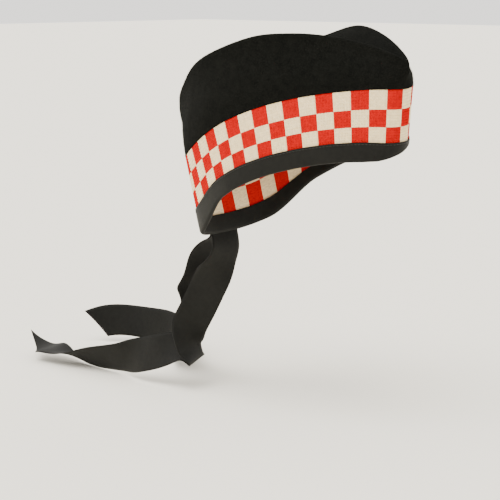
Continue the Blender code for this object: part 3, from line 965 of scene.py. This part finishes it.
def tail_rows(table, slant, offset):
    """Rows of a ribbon sewn flat on the back of the binding, which then falls along its table."""
    back = np.array([pi])
    edge_back = tilt(wall(back, 0.0))[0]
    seat = [tilt(off_wall(back, TAIL_LAP * share + RIBBON, offset))[0] for share in (1.0, 0.5, 0.0)]
    middle = np.array(seat + [edge_back + MM * np.array(row[:3]) for row in table])
    across = unit(np.array([tilt([1.0, 0.0, 0.0])] * len(seat) + [row[3:] for row in table]))
    run = np.concatenate([[0.0], np.cumsum(np.linalg.norm(np.diff(middle, axis=0), axis=-1))])
    seat_end = run[len(seat) - 1]

    def along_run(values, where):
        return np.stack([cubic(run, values[:, axis], where) for axis in range(3)], axis=-1)

    half = RIBBON_WIDTH / 2.0
    edge = wall(np.array([pi - half / EDGE_BACK]), RIBBON)[0]
    sag = (EDGE_BACK - edge[1]) * (half / edge[0]) ** 2
    share = np.linspace(0.0, 1.0, TAIL_ROWS + 1)
    strips = []
    for place in np.linspace(-1.0, 1.0, TAIL_STRIPS + 1):
        where = share * (run[-1] + (slant * place - abs(slant)) / 2.0)
        centre = along_run(middle, where)
        ahead = unit(along_run(middle, where + MM) - centre)
        sideways = unit(along_run(across, where))
        hold = np.clip(1.0 - (where - seat_end) / TAIL_LAP, 0.0, 1.0)[:, None]
        face = np.cross(sideways, ahead)
        loose = np.clip((where - seat_end) / TAIL_FREE, 0.0, 1.0)[:, None]
        beside = (place * CRUMPLE_ACROSS, slant * CRUMPLE_SHIFT)
        dent = np.array([waver(Vector((spot / CRUMPLE_LENGTH, *beside))) for spot in where])[:, None]
        bow = sag * hold * place ** 2 + TAIL_CRUMPLE * loose * dent
        strips.append(centre + sideways * half * place - face * bow)
    return np.stack(strips, axis=1)


tail_cloth = ribbon_finish("tail_ribbon", 0.8 * MM, "Y")
right_offset = GAP + RIBBON + GAP + RIBBON / 2.0
left_offset = right_offset + RIBBON + 2.0 * GAP
for name, node, length, slant, table, offset in (
    ("ribbon_tail_right", "tail_right", TAIL_RIGHT_LENGTH, TAIL_RIGHT_SLANT, TAIL_RIGHT, right_offset),
    ("ribbon_tail_left", "tail_left", TAIL_LEFT_LENGTH, TAIL_LEFT_SLANT, TAIL_LEFT, left_offset),
):
    tail = cloth(name, tail_rows(table, slant, offset), False, tail_cloth)
    thicken(tail, TAIL_THICK, 0.0)
    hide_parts(node)
    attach(tail, "root")

# Tail stitches
# The black thread that holds both tails to the binding: a stitched box through the two ribbons,
# where they lie flat on the back of the binding.
BOX_ROWS = slice(1, 8)


def seat_line():
    """Closed path of the stitched box on the outer tail's seat."""
    rows = tail_rows(TAIL_LEFT, TAIL_LEFT_SLANT, left_offset)
    outward = tilt(out_of_wall(np.array([pi]), TAIL_LAP / 2.0))[0]
    seat = rows[BOX_ROWS] + outward * (TAIL_THICK / 2.0 + THREAD_RISE)
    inset = slice(1, TAIL_STRIPS)
    top, bottom = seat[0, inset], seat[-1, inset]
    right, left = seat[:, TAIL_STRIPS - 1], seat[:, 1]
    return np.concatenate([top, right[1:-1], bottom[::-1], left[1:-1][::-1]])


sewn_row("tail_stitches", seat_line())
bpy.data.objects.remove(thread_stitch, do_unlink=True)

# Stage
# A plain pale floor just under the tails, a pale sky and two broad lights that stay soft, and the
# camera where the photograph was taken from.
FLOOR_REACH = 12.0
FLOOR_DROP = 0.5 * MM
SKY_STRENGTH = 1.75
FOCAL = 1700.0
IMAGE = 500.0
SENSOR = 36.0
DISTANCE = 1.574
AZIMUTH = radians(-46.9)
ELEVATION = radians(9.0)
ORIGIN_PIXEL = (310.5, 190.9)

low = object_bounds()[0]
floor_mesh = bpy.data.meshes.new("floor")
sides = ((-1, -1), (1, -1), (1, 1), (-1, 1))
corners = [(FLOOR_REACH * x, FLOOR_REACH * y, low[2] - FLOOR_DROP) for x, y in sides]
floor_mesh.from_pydata(corners, [], [(0, 1, 2, 3)])
floor = added("floor", floor_mesh)
pale, tree, shader = finish_material("pale_floor", 0.9, 0.0, 0.5, (1.0, 1.0, 1.0), 0.1)
shader.inputs["Base Color"].default_value = (0.94, 0.905, 0.81, 1.0)
floor_mesh.materials.append(pale)

world = bpy.data.worlds.new("studio")
world.use_nodes = True
sky = world.node_tree.nodes["Background"]
sky.inputs["Color"].default_value = (1.0, 0.975, 0.93, 1.0)
sky.inputs["Strength"].default_value = SKY_STRENGTH
bpy.context.scene.world = world

# Name, strength, apparent width, azimuth and height, the last three in degrees
for name, strength, spread_angle, azimuth, height in (
    ("key_light", 2.6, 40.0, -70.0, 60.0),
    ("fill_light", 1.2, 70.0, -125.0, 35.0),
):
    lamp = bpy.data.lights.new(name, "SUN")
    lamp.energy = strength
    lamp.angle = radians(spread_angle)
    lamp.color = (1.0, 0.975, 0.94)
    light = added(name, lamp)
    a, e = radians(azimuth), radians(height)
    towards = Vector((sin(a) * cos(e), -cos(a) * cos(e), sin(e)))
    light.rotation_euler = towards.to_track_quat("Z", "Y").to_euler()

camera_data = bpy.data.cameras.new("camera")
camera_data.sensor_width = SENSOR
camera_data.lens = FOCAL / IMAGE * SENSOR
camera = added("camera", camera_data)
back = Vector((sin(AZIMUTH) * cos(ELEVATION), -cos(AZIMUTH) * cos(ELEVATION), sin(ELEVATION)))
right = Vector((cos(AZIMUTH), sin(AZIMUTH), 0.0))
up = back.cross(right)
across = (ORIGIN_PIXEL[0] - IMAGE / 2.0) / FOCAL * DISTANCE
above = (ORIGIN_PIXEL[1] - IMAGE / 2.0) / FOCAL * DISTANCE
location = back * DISTANCE - right * across + up * above
camera.matrix_world = Matrix.Translation(location) @ Matrix((right, up, back)).transposed().to_4x4()
bpy.context.scene.camera = camera
